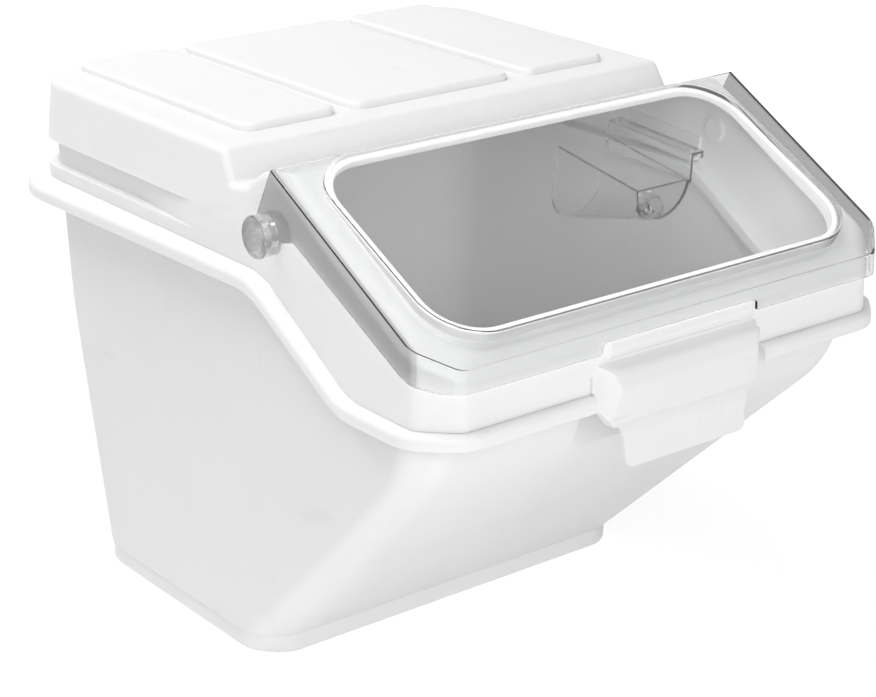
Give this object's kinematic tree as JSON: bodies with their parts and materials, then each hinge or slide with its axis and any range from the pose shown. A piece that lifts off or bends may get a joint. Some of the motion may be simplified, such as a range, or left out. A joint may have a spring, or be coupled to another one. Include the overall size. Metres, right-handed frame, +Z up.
{
  "type": "rice bin with flip lid",
  "caption": "Slope-fronted kitchen bin for rice or flour, with a lift-off hood, a clear flip lid over the sloping window, a pull grip at the front and a scoop hung inside.",
  "frame": {"origin": "on the floor, at the middle of the overall width and depth", "axes": "+X to the right seen from the front, +Y to the back, +Z up; the sloping front and the grip face -Y"},
  "size_m": [0.485, 0.59, 0.438],
  "materials": {
    "bin_white": "satin white moulding, slightly translucent",
    "hood_white": "satin white moulding",
    "lid_clear": "clear, glossy",
    "pin_white": "satin",
    "rail_white": "satin",
    "scoop_clear": "clear, glossy"
  },
  "bodies": {
    "bin": {"bin_body": "bin_white"},
    "hood": {"hood": "hood_white", "hinge_pin_left": "pin_white", "hinge_pin_right": "pin_white", "scoop_rail": "rail_white"},
    "lid": {"flip_lid": "lid_clear"},
    "scoop": {"scoop": "scoop_clear"}
  },
  "joints": [
    {"name": "hood_lift", "type": "slide", "parent": "bin", "child": "hood", "axis": [0, 0, 1], "range_m": [0, 0.15]},
    {"name": "lid_hinge", "type": "hinge", "parent": "hood", "child": "lid", "pos_m": [0, -0.089, 0.3855], "axis": [-1, 0, 0], "range_deg": [0, 64]},
    {"name": "scoop_lift", "type": "slide", "parent": "hood", "child": "scoop", "axis": [0, 0, 1], "range_m": [0, 0.03]}
  ]
}
